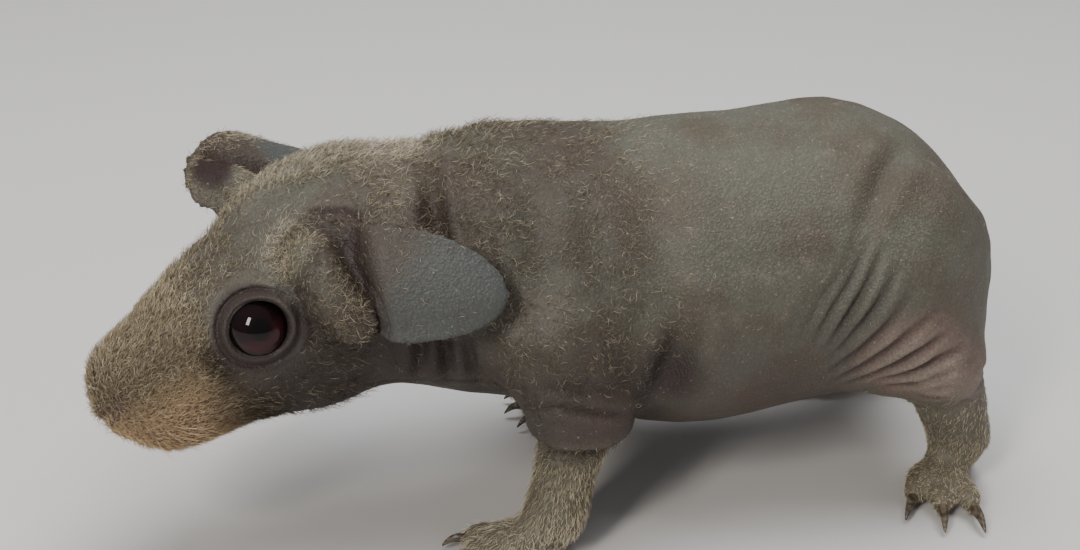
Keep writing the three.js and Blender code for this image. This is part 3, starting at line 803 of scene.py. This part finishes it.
def markings_and_painted_light(points):
    """The skin's and coat's fields at points, each from 0 to 1: its markings, with painted shade
    and painted sheen among them.
    """
    x, y, z = points.T
    ahead, _, above = in_head(points).T
    gap, along, wide, outer = near_ear(points)
    on_ear = (1 - ramp(gap, 1.5, 2.6)) * ramp(along, 0.04, 0.12)
    on_head = ramp(-x, 26, 34) * (1 - on_ear)
    lips = ramp(-above, -1.5, 6) * ramp(ahead, 1, 18)
    snout = on_head * ramp(ahead, 1, 15)
    paws = paw_share(points)
    # the pink low on the belly is partly the skin's own tone and partly painted reddish bounce
    # light; the pink at the groin, shank and elbow is its own
    pink = 0.45 * (1 - ramp(z, 18, 38)) * ramp(x, 12, 24)
    pink = np.maximum(pink, ball_of(points, (58, -27, 30), 13) * 0.85)
    pink = np.maximum(pink, ball_of(points, (69, -24, 25), 9) * 0.7)
    pink = np.maximum(pink, ball_of(points, (2, -29, 24.5), 8) * 0.45)
    # painted shade: darker in the armpit, under the jaw, on the side of the neck, where the ear
    # meets the nape, in the ear's crease and on its inner side, in the nostrils and lip slits,
    # round the eye and in the right ear's opening
    painted_shade = 0.85 * ball_of(points, (15.5, -25, 31), 9, 0.8)
    painted_shade = np.maximum(painted_shade, on_head * ramp(-above, 4, 12) * 0.8 * (1 - ramp(ahead, 3, 17)))
    painted_shade = np.maximum(painted_shade, ball_of(points, (-24, -17, 37), 13, 0.8) * 0.85)
    painted_shade = np.maximum(painted_shade, ball_of(points, (-21, -14, 58), 6, 0.8) * 0.7)
    fold = np.exp(-(((along - ear_fold(wide)) / 0.055) ** 2))
    fold = fold * on_ear * ramp(-np.abs(wide), -1, -0.7)
    painted_shade = np.maximum(painted_shade, np.maximum(fold, on_ear * ramp(-outer, 0.1, 0.7) * 0.8))
    # the ears' rear lobes: their own dark tone with a painted cool bluish sheen
    lobe = on_ear * ramp(along + 0.12 * (1 - wide), 0.58, 0.76)
    brown = on_ear * ramp(along, 0.30, 0.38) * (1 - lobe)
    # a painted sheen as a pale band along the top of the head and neck; the pale tuft at the near
    # ear's base is the coat's own colour
    pale_and_sheen = (
        ramp(-x, 14, 24)
        * (1 - ramp(-x, 46, 54))
        * (1 - ramp(np.abs(y - 1.5), 3, 9))
        * ramp(z, 55, 60)
    )
    tuft = ball_of(points, (-43, -15, 54.5), 6.5) * (y < 0)
    pale_and_sheen = np.maximum(pale_and_sheen * 0.75, tuft * 0.8)
    gold = snout * (0.15 + 0.85 * lips)
    gold = np.maximum(gold, paws * (1 - ramp(z, 7, 12)) * 0.45)
    lid = 1 - ramp(lid_ring(points), 1.32, 1.55)
    nostril = nose_gap(points, "nostril")
    slits = np.minimum(nose_gap(points, "cleft"), nose_gap(points, "lips"))
    nose = 1 - ramp(np.minimum(nostril, nose_gap(points, "cleft") + 0.6), 1.0, 2.4)
    painted_shade = np.maximum(painted_shade, 1.0 - ramp(np.minimum(nostril - 0.25, slits), 0.05, 0.6))
    round_eye = np.maximum(
        ball_of(points, (-43.5, -18.5, 43.5), 6.5, 0.7), ball_of(points, (-55, -19.3, 38.3), 7, 0.8)
    )
    painted_shade = np.maximum(painted_shade, round_eye * 0.95 * ramp(lid_ring(points), 1.2, 1.6))
    painted_shade = np.maximum(painted_shade, (1 - ramp(hollow_gap(points), 0.6, 1.1)) * 0.95)
    # painted shade down the lower flank and belly, where less light falls
    low = 0.6 * (1 - ramp(z, 26, 46)) * ramp(x, -24, -12) * (1 - ramp(x, 44, 54)) * (1 - paws)
    # painted shade: the front of the near ear, the underside of the head, the chest and throat, the
    # front of the body, the bridge of the nose and the head as a whole are darkened, on top of the
    # painted shade above
    painted_dimming = 0.95 * on_ear * (1 - ramp(along, 0.3, 0.4)) * (y < 0)
    painted_dimming = np.maximum(painted_dimming, 0.85 * ramp(-x, 20, 30) * (1 - ramp(ahead, 5, 18)) * ramp(-above, 0, 8))
    under = 0.85 * (1 - ramp(z, 30, 46)) * ramp(x, -26, -14) * (1 - ramp(x, 8, 22)) * (1 - paws)
    painted_dimming = np.maximum(painted_dimming, under)
    front = 0.6 * ramp(x, -26, -20) * (1 - ramp(x, 4, 18)) * (1 - 0.6 * pale_and_sheen) * (1 - paws)
    painted_dimming = np.maximum(painted_dimming, front)
    painted_dimming = np.maximum(painted_dimming, 0.35 * snout * (1 - lips))
    painted_dimming = np.maximum(painted_dimming, 0.35 * on_head * (1 - snout))
    painted_dimming = np.maximum(painted_dimming, painted_shade)
    return {
        "pink": pink * (1 - paws),
        "painted_shade": painted_shade * (1 - paws),
        "lobe": lobe,
        "brown": brown,
        "low": low,
        "painted_dimming": painted_dimming * (1 - tuft),
        "pale_and_sheen": pale_and_sheen * (1 - on_ear),
        "gold": gold,
        "snout": snout * (0.3 + 0.7 * lips),
        "paws": paws * (0.45 + 0.55 * (1 - ramp(z, 6, 14))),
        "on_ear": on_ear,
        "lid": lid,
        "nose": nose,
    }


def paint(mesh, fields):
    for name, values in fields.items():
        layer = mesh.attributes.new(name, "FLOAT", "POINT")
        layer.data.foreach_set("value", np.asarray(values, np.float32))


skin_points = points_of(whole)
paint(whole, markings_and_painted_light(skin_points))
paint(whole, {"valley": valleys, "ridge": ridges})
smooth(whole)

hide, hide_shader, spot = finish("bare_skin")
broad = spot.noise(55, 3.0)
mottle = spot.noise(240, 4.0, 0.6)
fine = spot.noise(1700, 3.0, 0.6)
tone = broad.between(0.42, 0.62).blend(SLATE, UMBER)
tone = (mottle.between(0.45, 0.75) * 0.08).blend(tone, ROSY)
tone = (mottle.between(0.55, 0.80) * 0.16).blend(tone, CREAM)
# pink skin, low on the belly partly painted reddish bounce light
tone = (spot.attribute("pink") * (mottle.between(0.2, 0.6) * 0.4 + 0.6)).blend(tone, ROSY)
# painted light on the raised lips beside the creases, in the pink skin
tone = (spot.attribute("ridge") * spot.attribute("pink") * 0.5).blend(tone, CREAM)
# painted shade on the lower flank and belly
tone = (spot.attribute("low") * 0.55).blend(tone, SHADED)
# painted shade over the head, the near ear's front, the chest and the front of the body
tone = (spot.attribute("painted_dimming") * 0.6).blend(tone, SHADED)
# painted sheen along the top of the neck, and the ear-base tuft's own pale
tone = (spot.attribute("pale_and_sheen") * 0.35).blend(tone, CREAM)
tone = (spot.attribute("snout") * 0.9).blend(tone, SNOUT_SKIN)
tone = (spot.attribute("nose") * 0.8).blend(tone, NOSE_SKIN)
tone = (spot.attribute("paws") * 0.85).blend(tone, PAW_SKIN)
tone = (spot.attribute("brown") * 0.85).blend(tone, EAR_BROWN)
# the rear lobe's own dark tone with a painted cool bluish sheen
tone = (spot.attribute("lobe") * 0.95).blend(tone, LOBE_WITH_SHEEN)
# painted shade in the hollows, creases and openings, round the eyes and under the jaw
tone = (spot.attribute("painted_shade") * 0.93).blend(tone, SHADED)
# painted shade in the creases
tone = (spot.attribute("valley") * 0.6).blend(tone, SHADED)
tone = (spot.attribute("lid") * 0.9).blend(tone, LID)
speck = 1 - spot.cells(640).between(0.05, 0.17)
tone = (speck * mottle.between(0.42, 0.6) * 0.5).blend(tone, CREAM)
crackle = spot.cells(2100).between(0.2, 0.65)
tone = (crackle * 0.22).blend(tone, SHADED)
tone = (fine.between(0.35, 0.65) * 0.22).blend(tone, SHADED)
connect(hide_shader, "Base Color", tone)
connect(hide_shader, "Roughness", mottle * 0.25 + 0.45)
grain = 1 - crackle
wrinkle = spot.stretched((1.0, 1.0, 0.35)).noise(750, 4.0, 0.65)
relief = grain * 0.8 + wrinkle * 1.2 + fine * 0.35
bump = spot.node("ShaderNodeBump", (), {"Strength": 0.5, "Distance": 0.00018, "Height": relief})
connect(hide_shader, "Normal", bump)
hide_shader.inputs["Specular IOR Level"].default_value = 0.42
whole.materials.clear()
whole.materials.append(hide)
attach(skin, "root")
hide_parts(*flesh_nodes, *EARS)


# The eyes.
# Each is a dark wet ball set deep in its lids, with a wide black pupil in a dark reddish iris. The
# iris's red is painted strongest low down, a painted reddish reflection on the ball's lower half.

PUPIL = (0.004, 0.003, 0.003, 1)
IRIS_WITH_REFLECTION = (0.030, 0.006, 0.008, 1)

eye_forms = bmesh.new()
for node in EYES:
    bmesh.ops.create_uvsphere(
        eye_forms,
        u_segments=48,
        v_segments=32,
        radius=EYE_RADIUS * MM,
        matrix=Matrix.Translation(placed(eye_centre(node))),
    )
eye_mesh = bpy.data.meshes.new("eyes")
eye_forms.to_mesh(eye_mesh)
eye_forms.free()
ball_points = points_of(eye_mesh)
iris_with_reflection = np.zeros(len(ball_points))
for node, side in EYES.items():
    gaze = gaze_of(side)
    out = unit(ball_points - eye_centre(node))
    here = np.linalg.norm(ball_points - eye_centre(node), axis=1) < EYE_RADIUS + 1
    off_axis = np.linalg.norm(out - gaze, axis=1)
    # painted reflection: the reddish iris is painted strongest low on the ball
    low = ramp(-(out - gaze) @ HEAD_UP, -0.05, 0.35)
    band = ramp(off_axis, 0.30, 0.38) * (1 - ramp(off_axis, 0.75, 0.90))
    iris_with_reflection[here] = (band * (0.15 + 0.85 * low))[here]
paint(eye_mesh, {"iris_with_reflection": iris_with_reflection})
smooth(eye_mesh)
wet, wet_shader, spot = finish("wet_eye", 0.04)
# the dark reddish iris with its painted reddish reflection low down
connect(wet_shader, "Base Color", spot.attribute("iris_with_reflection").blend(PUPIL, IRIS_WITH_REFLECTION))
wet_shader.inputs["IOR"].default_value = 1.34
eye_mesh.materials.append(wet)
eyes = bpy.data.objects.new("eyes", eye_mesh)
bpy.context.scene.collection.objects.link(eyes)
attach(eyes, "root")
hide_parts(*EYES)


# The claws.
# Each toe ends in a claw of dark horn, round above, narrowed to a blunt point and curved down.

CLAW_DARK = (0.035, 0.027, 0.020, 1)
CLAW_PALE = (0.17, 0.13, 0.085, 1)
FORE_CLAW_GIRTH = 1.0
HIND_CLAW_GIRTH = 1.25
CLAW_ARCH = 0.9
CLEARANCE = 0.05  # least height of claws and hairs over the floor

claw_nodes = [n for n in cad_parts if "_claw_" in n]
claw_forms = bmesh.new()
for node in claw_nodes:
    corners = own([corner.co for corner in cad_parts[node].data.vertices])
    leg = node.split("_claw_")[0]
    low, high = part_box(f"{leg}_foot")
    sole = own((low + high) / 2)
    reach = np.linalg.norm((corners - sole)[:, :2], axis=1)
    tip = corners[reach.argmax()]
    back = corners[reach < reach.min() + 0.8].mean(0)
    run = tip - back
    length = np.linalg.norm(run)
    girth = FORE_CLAW_GIRTH if leg.startswith("fore") else HIND_CLAW_GIRTH
    ahead = unit(run)
    side = unit(np.cross(ahead, (0, 0, 1)))
    up = np.cross(side, ahead)
    horn = bmesh.ops.create_uvsphere(claw_forms, u_segments=14, v_segments=16, radius=1)["verts"]
    for corner in horn:
        turn_x, turn_y, height = corner.co
        along = (height + 1) / 2
        thin = girth * (1 - along) ** 0.5 / max(1e-6, (1 - height**2) ** 0.5)
        thin *= min(1, 4 * along**0.5)
        arch = CLAW_ARCH * (1 - (2 * along - 1) ** 2)
        centre = back - ahead * 1.0 + run * along * (1 + 1.0 / length) + up * arch
        spot = centre + side * turn_x * thin * 0.8 + up * turn_y * thin
        spot[2] = max(spot[2], CLEARANCE)
        corner.co = placed(spot)
bmesh.ops.recalc_face_normals(claw_forms, faces=claw_forms.faces)
claw_mesh = bpy.data.meshes.new("claws")
claw_forms.to_mesh(claw_mesh)
claw_forms.free()
smooth(claw_mesh)
horn_finish, horn_shader, spot = finish("claw_horn", 0.38)
streak = spot.stretched((1.0, 1.0, 3.0)).noise(900, 3.0)
connect(horn_shader, "Base Color", streak.between(0.35, 0.75).blend(CLAW_DARK, CLAW_PALE))
bump = spot.node("ShaderNodeBump", (), {"Strength": 0.3, "Distance": 0.0001, "Height": streak})
connect(horn_shader, "Normal", bump)
claw_mesh.materials.append(horn_finish)
claws = bpy.data.objects.new("claws", claw_mesh)
bpy.context.scene.collection.objects.link(claws)
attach(claws, "root")
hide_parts(*claw_nodes)


# The coat.
# Thin curly hairs stand close on the muzzle and paws and scattered on the head, nape and shoulders.
# They shorten to stubble behind. Each hair is a bent, tapered solid, rooted on the skin.

HAIR_DARK = (0.045, 0.033, 0.021, 1)
HAIR_TAN = (0.36, 0.29, 0.17, 1)
HAIR_GOLD = (0.70, 0.49, 0.28, 1)
HAIR_PALE = (0.76, 0.68, 0.52, 1)
ROOT_DEPTH = 0.15  # how deep under the skin a hair starts
MAP_PATCH = 0.0014  # how far a hair's corners lie from its root on the skin's map
MAP_TURN = 2.4  # angle between one corner there and the next
PATCH_WAVES = 7

whole.uv_layers.new(name="OFBake")
bpy.context.view_layer.objects.active = skin
skin.select_set(True)
bpy.ops.object.mode_set(mode="EDIT")
bpy.ops.mesh.select_all(action="SELECT")
bpy.ops.uv.smart_project(angle_limit=1.15, island_margin=0.004, scale_to_bounds=True)
bpy.ops.object.mode_set(mode="OBJECT")
skin.select_set(False)

whole.calc_loop_triangles()
corners = np.zeros(len(whole.loop_triangles) * 3, np.int32)
whole.loop_triangles.foreach_get("vertices", corners)
corners = corners.reshape(-1, 3)
loops = np.zeros(len(whole.loop_triangles) * 3, np.int32)
whole.loop_triangles.foreach_get("loops", loops)
loops = loops.reshape(-1, 3)
unwrap = np.zeros(len(whole.loops) * 2, np.float32)
whole.uv_layers["OFBake"].data.foreach_get("uv", unwrap)
unwrap = unwrap.reshape(-1, 2)
skin_points = points_of(whole)
skin_normals = normals_of(whole)
sides = skin_points[corners]
areas = np.linalg.norm(np.cross(sides[:, 1] - sides[:, 0], sides[:, 2] - sides[:, 0]), axis=1) / 2

hair_finish, hair_shader, spot = finish("hair", 0.55)
shade = spot.attribute("shade")
hair = spot.attribute("gold").blend(HAIR_TAN, HAIR_GOLD)
# pale hairs: a painted sheen along the top of the neck, and the own pale of the ear-base tuft and
# fore paws
hair = (spot.attribute("pale_and_sheen") * 0.8).blend(hair, HAIR_PALE)
hair = (shade * shade * shade * 0.75).blend(hair, HAIR_PALE)
hair = (1 - spot.attribute("tip").between(-0.2, 0.65)).blend(hair, HAIR_DARK)
hair = ((1 - shade.between(0.0, 0.5)) * (0.7 - spot.attribute("gold") * 0.5)).blend(hair, HAIR_DARK)
# painted shade on the hairs, where the skin under them is given painted shade
hair = (spot.attribute("painted_dimming") * (1 - shade.between(0.72, 0.95) * 0.7)).blend(hair, HAIR_DARK)
connect(hair_shader, "Base Color", hair)
hair_shader.inputs["Specular IOR Level"].default_value = 0.3

# shares of a hair's length at its rings, the last at its tip
SHORT_HAIR = np.array([0.0, 0.36, 0.74, 1.0])
CURLY_HAIR = np.array([0.0, 0.22, 0.44, 0.66, 0.86, 1.0])


def patchy(points, scale, seed):
    """Soft patches from 0 to 1, about scale across."""
    rng = np.random.default_rng(seed)
    waves = [
        np.sin(points @ (unit(rng.normal(size=3)) * tau / scale) + rng.uniform(0, tau))
        for _ in range(PATCH_WAVES)
    ]
    return ramp(sum(waves) / PATCH_WAVES, -0.35, 0.35)


def hairs(
    name,
    density,
    count,
    length,
    lay,
    girth=0.055,
    lift=0.5,
    messy=0.6,
    curl=2.5,
    seed=1,
    rings_at=CURLY_HAIR,
):
    """One piece of coat: count hairs on the skin where density is, lying along lay."""
    rng = np.random.default_rng(seed)
    share = areas * density[corners].mean(1)
    total = np.cumsum(share)
    chosen = np.searchsorted(total, rng.random(count) * total[-1])
    weights = rng.dirichlet((1, 1, 1), count)[:, :, None]
    root = (skin_points[corners[chosen]] * weights).sum(1)
    normal = unit((skin_normals[corners[chosen]] * weights).sum(1))
    place = (unwrap[loops[chosen]] * weights).sum(1)
    flow = lay(root) + rng.normal(0, messy, (count, 3))
    flow = unit(flow - normal * (flow * normal).sum(1, keepdims=True))
    aside = np.cross(normal, flow)
    turn = rng.normal(0, 1, (count, 1)) * curl
    size = length * rng.uniform(0.55, 1.25, (count, 1))
    rise = lift * rng.uniform(0.5, 1.4, (count, 1))
    spots, headings = [root - normal * ROOT_DEPTH], []
    steps = np.diff(rings_at)
    for k, step in enumerate([*steps, 0]):
        t = rings_at[k]
        slope = rise * (1 - 0.9 * t)
        swing = turn * (t - 0.3)
        level = flow * np.cos(swing) + aside * np.sin(swing)
        heading = level * np.cos(slope) + normal * np.sin(slope)
        headings.append(heading)
        if k < len(steps):
            spots.append(spots[-1] + heading * size * step)
    rings = []
    for k in range(len(steps)):
        across = unit(np.cross(headings[k], normal))
        up = np.cross(across, headings[k])
        thin = girth * (1 - rings_at[k]) ** 0.6
        for corner in range(3):
            angle = tau * corner / 3
            rings.append(spots[k] + (across * cos(angle) + up * sin(angle)) * thin)
    rings.append(spots[-1])
    points = np.stack(rings, 1)
    points[..., 2] = np.maximum(points[..., 2], CLEARANCE)
    per = points.shape[1]
    faces = [(2, 1, 0)]
    for k in range(len(steps) - 1):
        for corner in range(3):
            a, b = 3 * k + corner, 3 * k + (corner + 1) % 3
            faces += [(a, b, b + 3), (a, b + 3, a + 3)]
    last = 3 * (len(steps) - 1)
    faces += [(last + corner, last + (corner + 1) % 3, per - 1) for corner in range(3)]
    faces = np.array(faces)[None] + np.arange(count)[:, None, None] * per
    mesh = bpy.data.meshes.new(name)
    mesh.from_pydata(placed(points.reshape(-1, 3)), [], faces.reshape(-1, 3).tolist())
    ahead = np.r_[np.repeat(rings_at[:-1], 3), 1.0]
    root_fields = markings_and_painted_light(root)
    fields = {key: np.repeat(root_fields[key], per) for key in ("gold", "pale_and_sheen", "painted_dimming")}
    fore_paws = 0.45 + 0.5 * (1 - ramp(root[:, 2], 6, 13)) * (root[:, 0] < 30)
    fields["pale_and_sheen"] = np.maximum(fields["pale_and_sheen"], np.repeat(root_fields["paws"] * fore_paws, per))
    fields["tip"] = np.tile(ahead, count)
    fields["shade"] = np.repeat(rng.random(count), per)
    paint(mesh, fields)
    smooth(mesh)
    angle = np.arange(per) * MAP_TURN
    patch = np.stack([np.cos(angle), np.sin(angle)], 1) * MAP_PATCH * (0.3 + 0.7 * ahead[:, None])
    around = np.clip(place[:, None] + patch[None], 0, 1).reshape(-1, 2)
    layer = mesh.uv_layers.new(name="OFBake")
    layer.data.foreach_set("uv", around[faces.reshape(-1)].astype(np.float32).ravel())
    mesh.materials.append(hair_finish)
    coat = bpy.data.objects.new(name, mesh)
    bpy.context.scene.collection.objects.link(coat)
    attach(coat, "root")


def backwards(roots):
    return np.tile((1.0, 0.0, -0.15), (len(roots), 1))


def off_the_nose(roots):
    return np.tile(-HEAD_FORWARD + HEAD_UP * 0.1, (len(roots), 1))


def out_and_down(roots):
    side = np.sign(in_head(roots)[:, 1:2])
    return -HEAD_FORWARD * 0.8 + HEAD_LEFT * side - HEAD_UP * 0.45


def down_the_leg(roots):
    return np.tile((-0.25, -0.1, -1.0), (len(roots), 1))


def along_the_ear(roots):
    return np.tile((0.9, -0.3, -0.3), (len(roots), 1))


ahead, _, above = in_head(skin_points).T
x, y, z = skin_points.T
fields = markings_and_painted_light(skin_points)
ring = lid_ring(skin_points)
_, along, wide, outer = near_ear(skin_points)
legs = paw_share(skin_points)
bare = ramp(ring, 1.5, 1.75) * (1 - fields["on_ear"]) * (1 - legs) * (1 - 0.9 * valleys)
below_eye = np.linalg.norm(skin_points - from_head((5, 12.5, -7)), axis=1)
bare_face = bare * (0.10 + 0.90 * ramp(below_eye, 2.5, 6.5))
crown_patch = np.maximum(
    ball_of(skin_points, (-47, -10, 58), 9, 0.5), ball_of(skin_points, (-38, -11.5, 60.5), 8, 0.5)
)
crown = 1 - 0.92 * crown_patch * (y < 2)
tuft = ball_of(skin_points, (-43, -15, 54.5), 5.5) * (y < 0) * bare
neck_side = 1 - 0.85 * ball_of(skin_points, (-22, -18, 36), 14, 0.5)
muzzle = ramp(ahead, 2, 10) * ramp(-x, 26, 34)
muzzle *= ramp(nose_gap(skin_points, "nostril"), 1.0, 2.0) * ramp(
    nose_gap(skin_points, "cleft"), 0.5, 1.3
)
muzzle *= ramp(nose_gap(skin_points, "lips"), 0.3, 0.9)
face = ramp(-x, 30, 36) * (1 - 0.85 * muzzle)
nape = ramp(-x, 2, 12) * (1 - ramp(-x, 44, 52)) * ramp(z, 30, 50) * crown
nape *= (0.35 + 0.65 * fields["pale_and_sheen"]) * (0.3 + 0.7 * patchy(skin_points, 7, 1))
shoulder = ramp(x, -20, -8) * (1 - ramp(x, 4, 24)) * ramp(z, 24, 32)
shoulder *= 0.25 + 0.75 * patchy(skin_points, 6, 2)
sleeve = 1 - 0.92 * ball_of(skin_points, (2, -28, 25), 9, 0.4)
soles = ramp(z, 0.5, 1.6)
rims = ramp(np.abs(wide), 0.82, 0.97) * ramp(outer, -0.6, 0.1)
ear_fur = 1.0 - ramp(along - ear_fold(wide), -0.07, 0.0) + 0.5 * rims + 0.05
ear_fur += (y > 0) * ramp(wide, 0.3, 0.8)
ear_fur *= (
    ramp(ring, 1.5, 1.75)
    * (1 - 0.95 * (1 - ramp(hollow_gap(skin_points), 0.6, 1.1)))
    * fields["on_ear"]
    * (0.25 + 0.75 * ramp(outer, -0.7, 0.2))
)
stubble = ramp(x, 4, 20) * ramp(z, 22, 32) * (1 - legs) * (1 - 0.8 * ramp(x, 26, 50))

bridge_fur = muzzle * bare_face * ramp(above, -8, -1)
hairs(
    "coat_bridge", bridge_fur, 11500, 2.0, off_the_nose,
    seed=2, curl=1.5, messy=0.55, lift=0.65, girth=0.05, rings_at=SHORT_HAIR,
)
hairs(
    "coat_lips", muzzle * bare_face * ramp(-above, -2, 4), 11500, 1.8, off_the_nose,
    seed=3, curl=1.6, messy=0.5, rings_at=SHORT_HAIR,
)
face_fur = face * bare_face * crown * (0.4 + 0.6 * ramp(above, -12, -4))
face_fur *= 0.35 + 0.65 * patchy(skin_points, 5, 3)
hairs(
    "coat_face", face_fur + 3.0 * tuft, 6800, 2.3, off_the_nose,
    girth=0.040, seed=4, messy=0.9, curl=2.6, lift=0.7,
)
hairs(
    "coat_nape", nape * bare * neck_side, 6400, 2.5, backwards,
    girth=0.042, seed=5, messy=1.1, curl=2.8, lift=0.75,
)
shoulder_fur = shoulder * bare * neck_side * sleeve
hairs(
    "coat_shoulder", shoulder_fur, 6400, 1.8, backwards,
    girth=0.036, seed=6, messy=1.2, curl=2.6, lift=0.7,
)
hairs(
    "coat_ears", ear_fur, 5200, 1.5, along_the_ear,
    girth=0.042, seed=7, messy=0.9, curl=2.4,
)
hairs(
    "coat_forelegs", legs * soles * (x < 30), 11500, 1.9, down_the_leg,
    seed=8, messy=0.35, curl=1.0, rings_at=SHORT_HAIR,
)
hind_fur = legs * soles * (x > 30) * (0.45 + 0.55 * (1 - ramp(z, 9, 15)))
hairs(
    "coat_hindlegs", hind_fur, 10500, 1.3, down_the_leg,
    seed=9, messy=0.35, curl=1.0, lift=0.4, rings_at=SHORT_HAIR,
)
hairs(
    "coat_stubble", stubble, 5500, 0.7, backwards,
    girth=0.035, seed=10, messy=0.8, curl=1.2, lift=0.5, rings_at=SHORT_HAIR,
)
whisker_pad = (1 - ramp(np.hypot(ahead - 20, above + 8), 2, 4.5)) * muzzle
hairs(
    "whiskers", whisker_pad, 30, 9, out_and_down,
    girth=0.05, seed=11, messy=0.2, curl=0.3, lift=0.9,
)
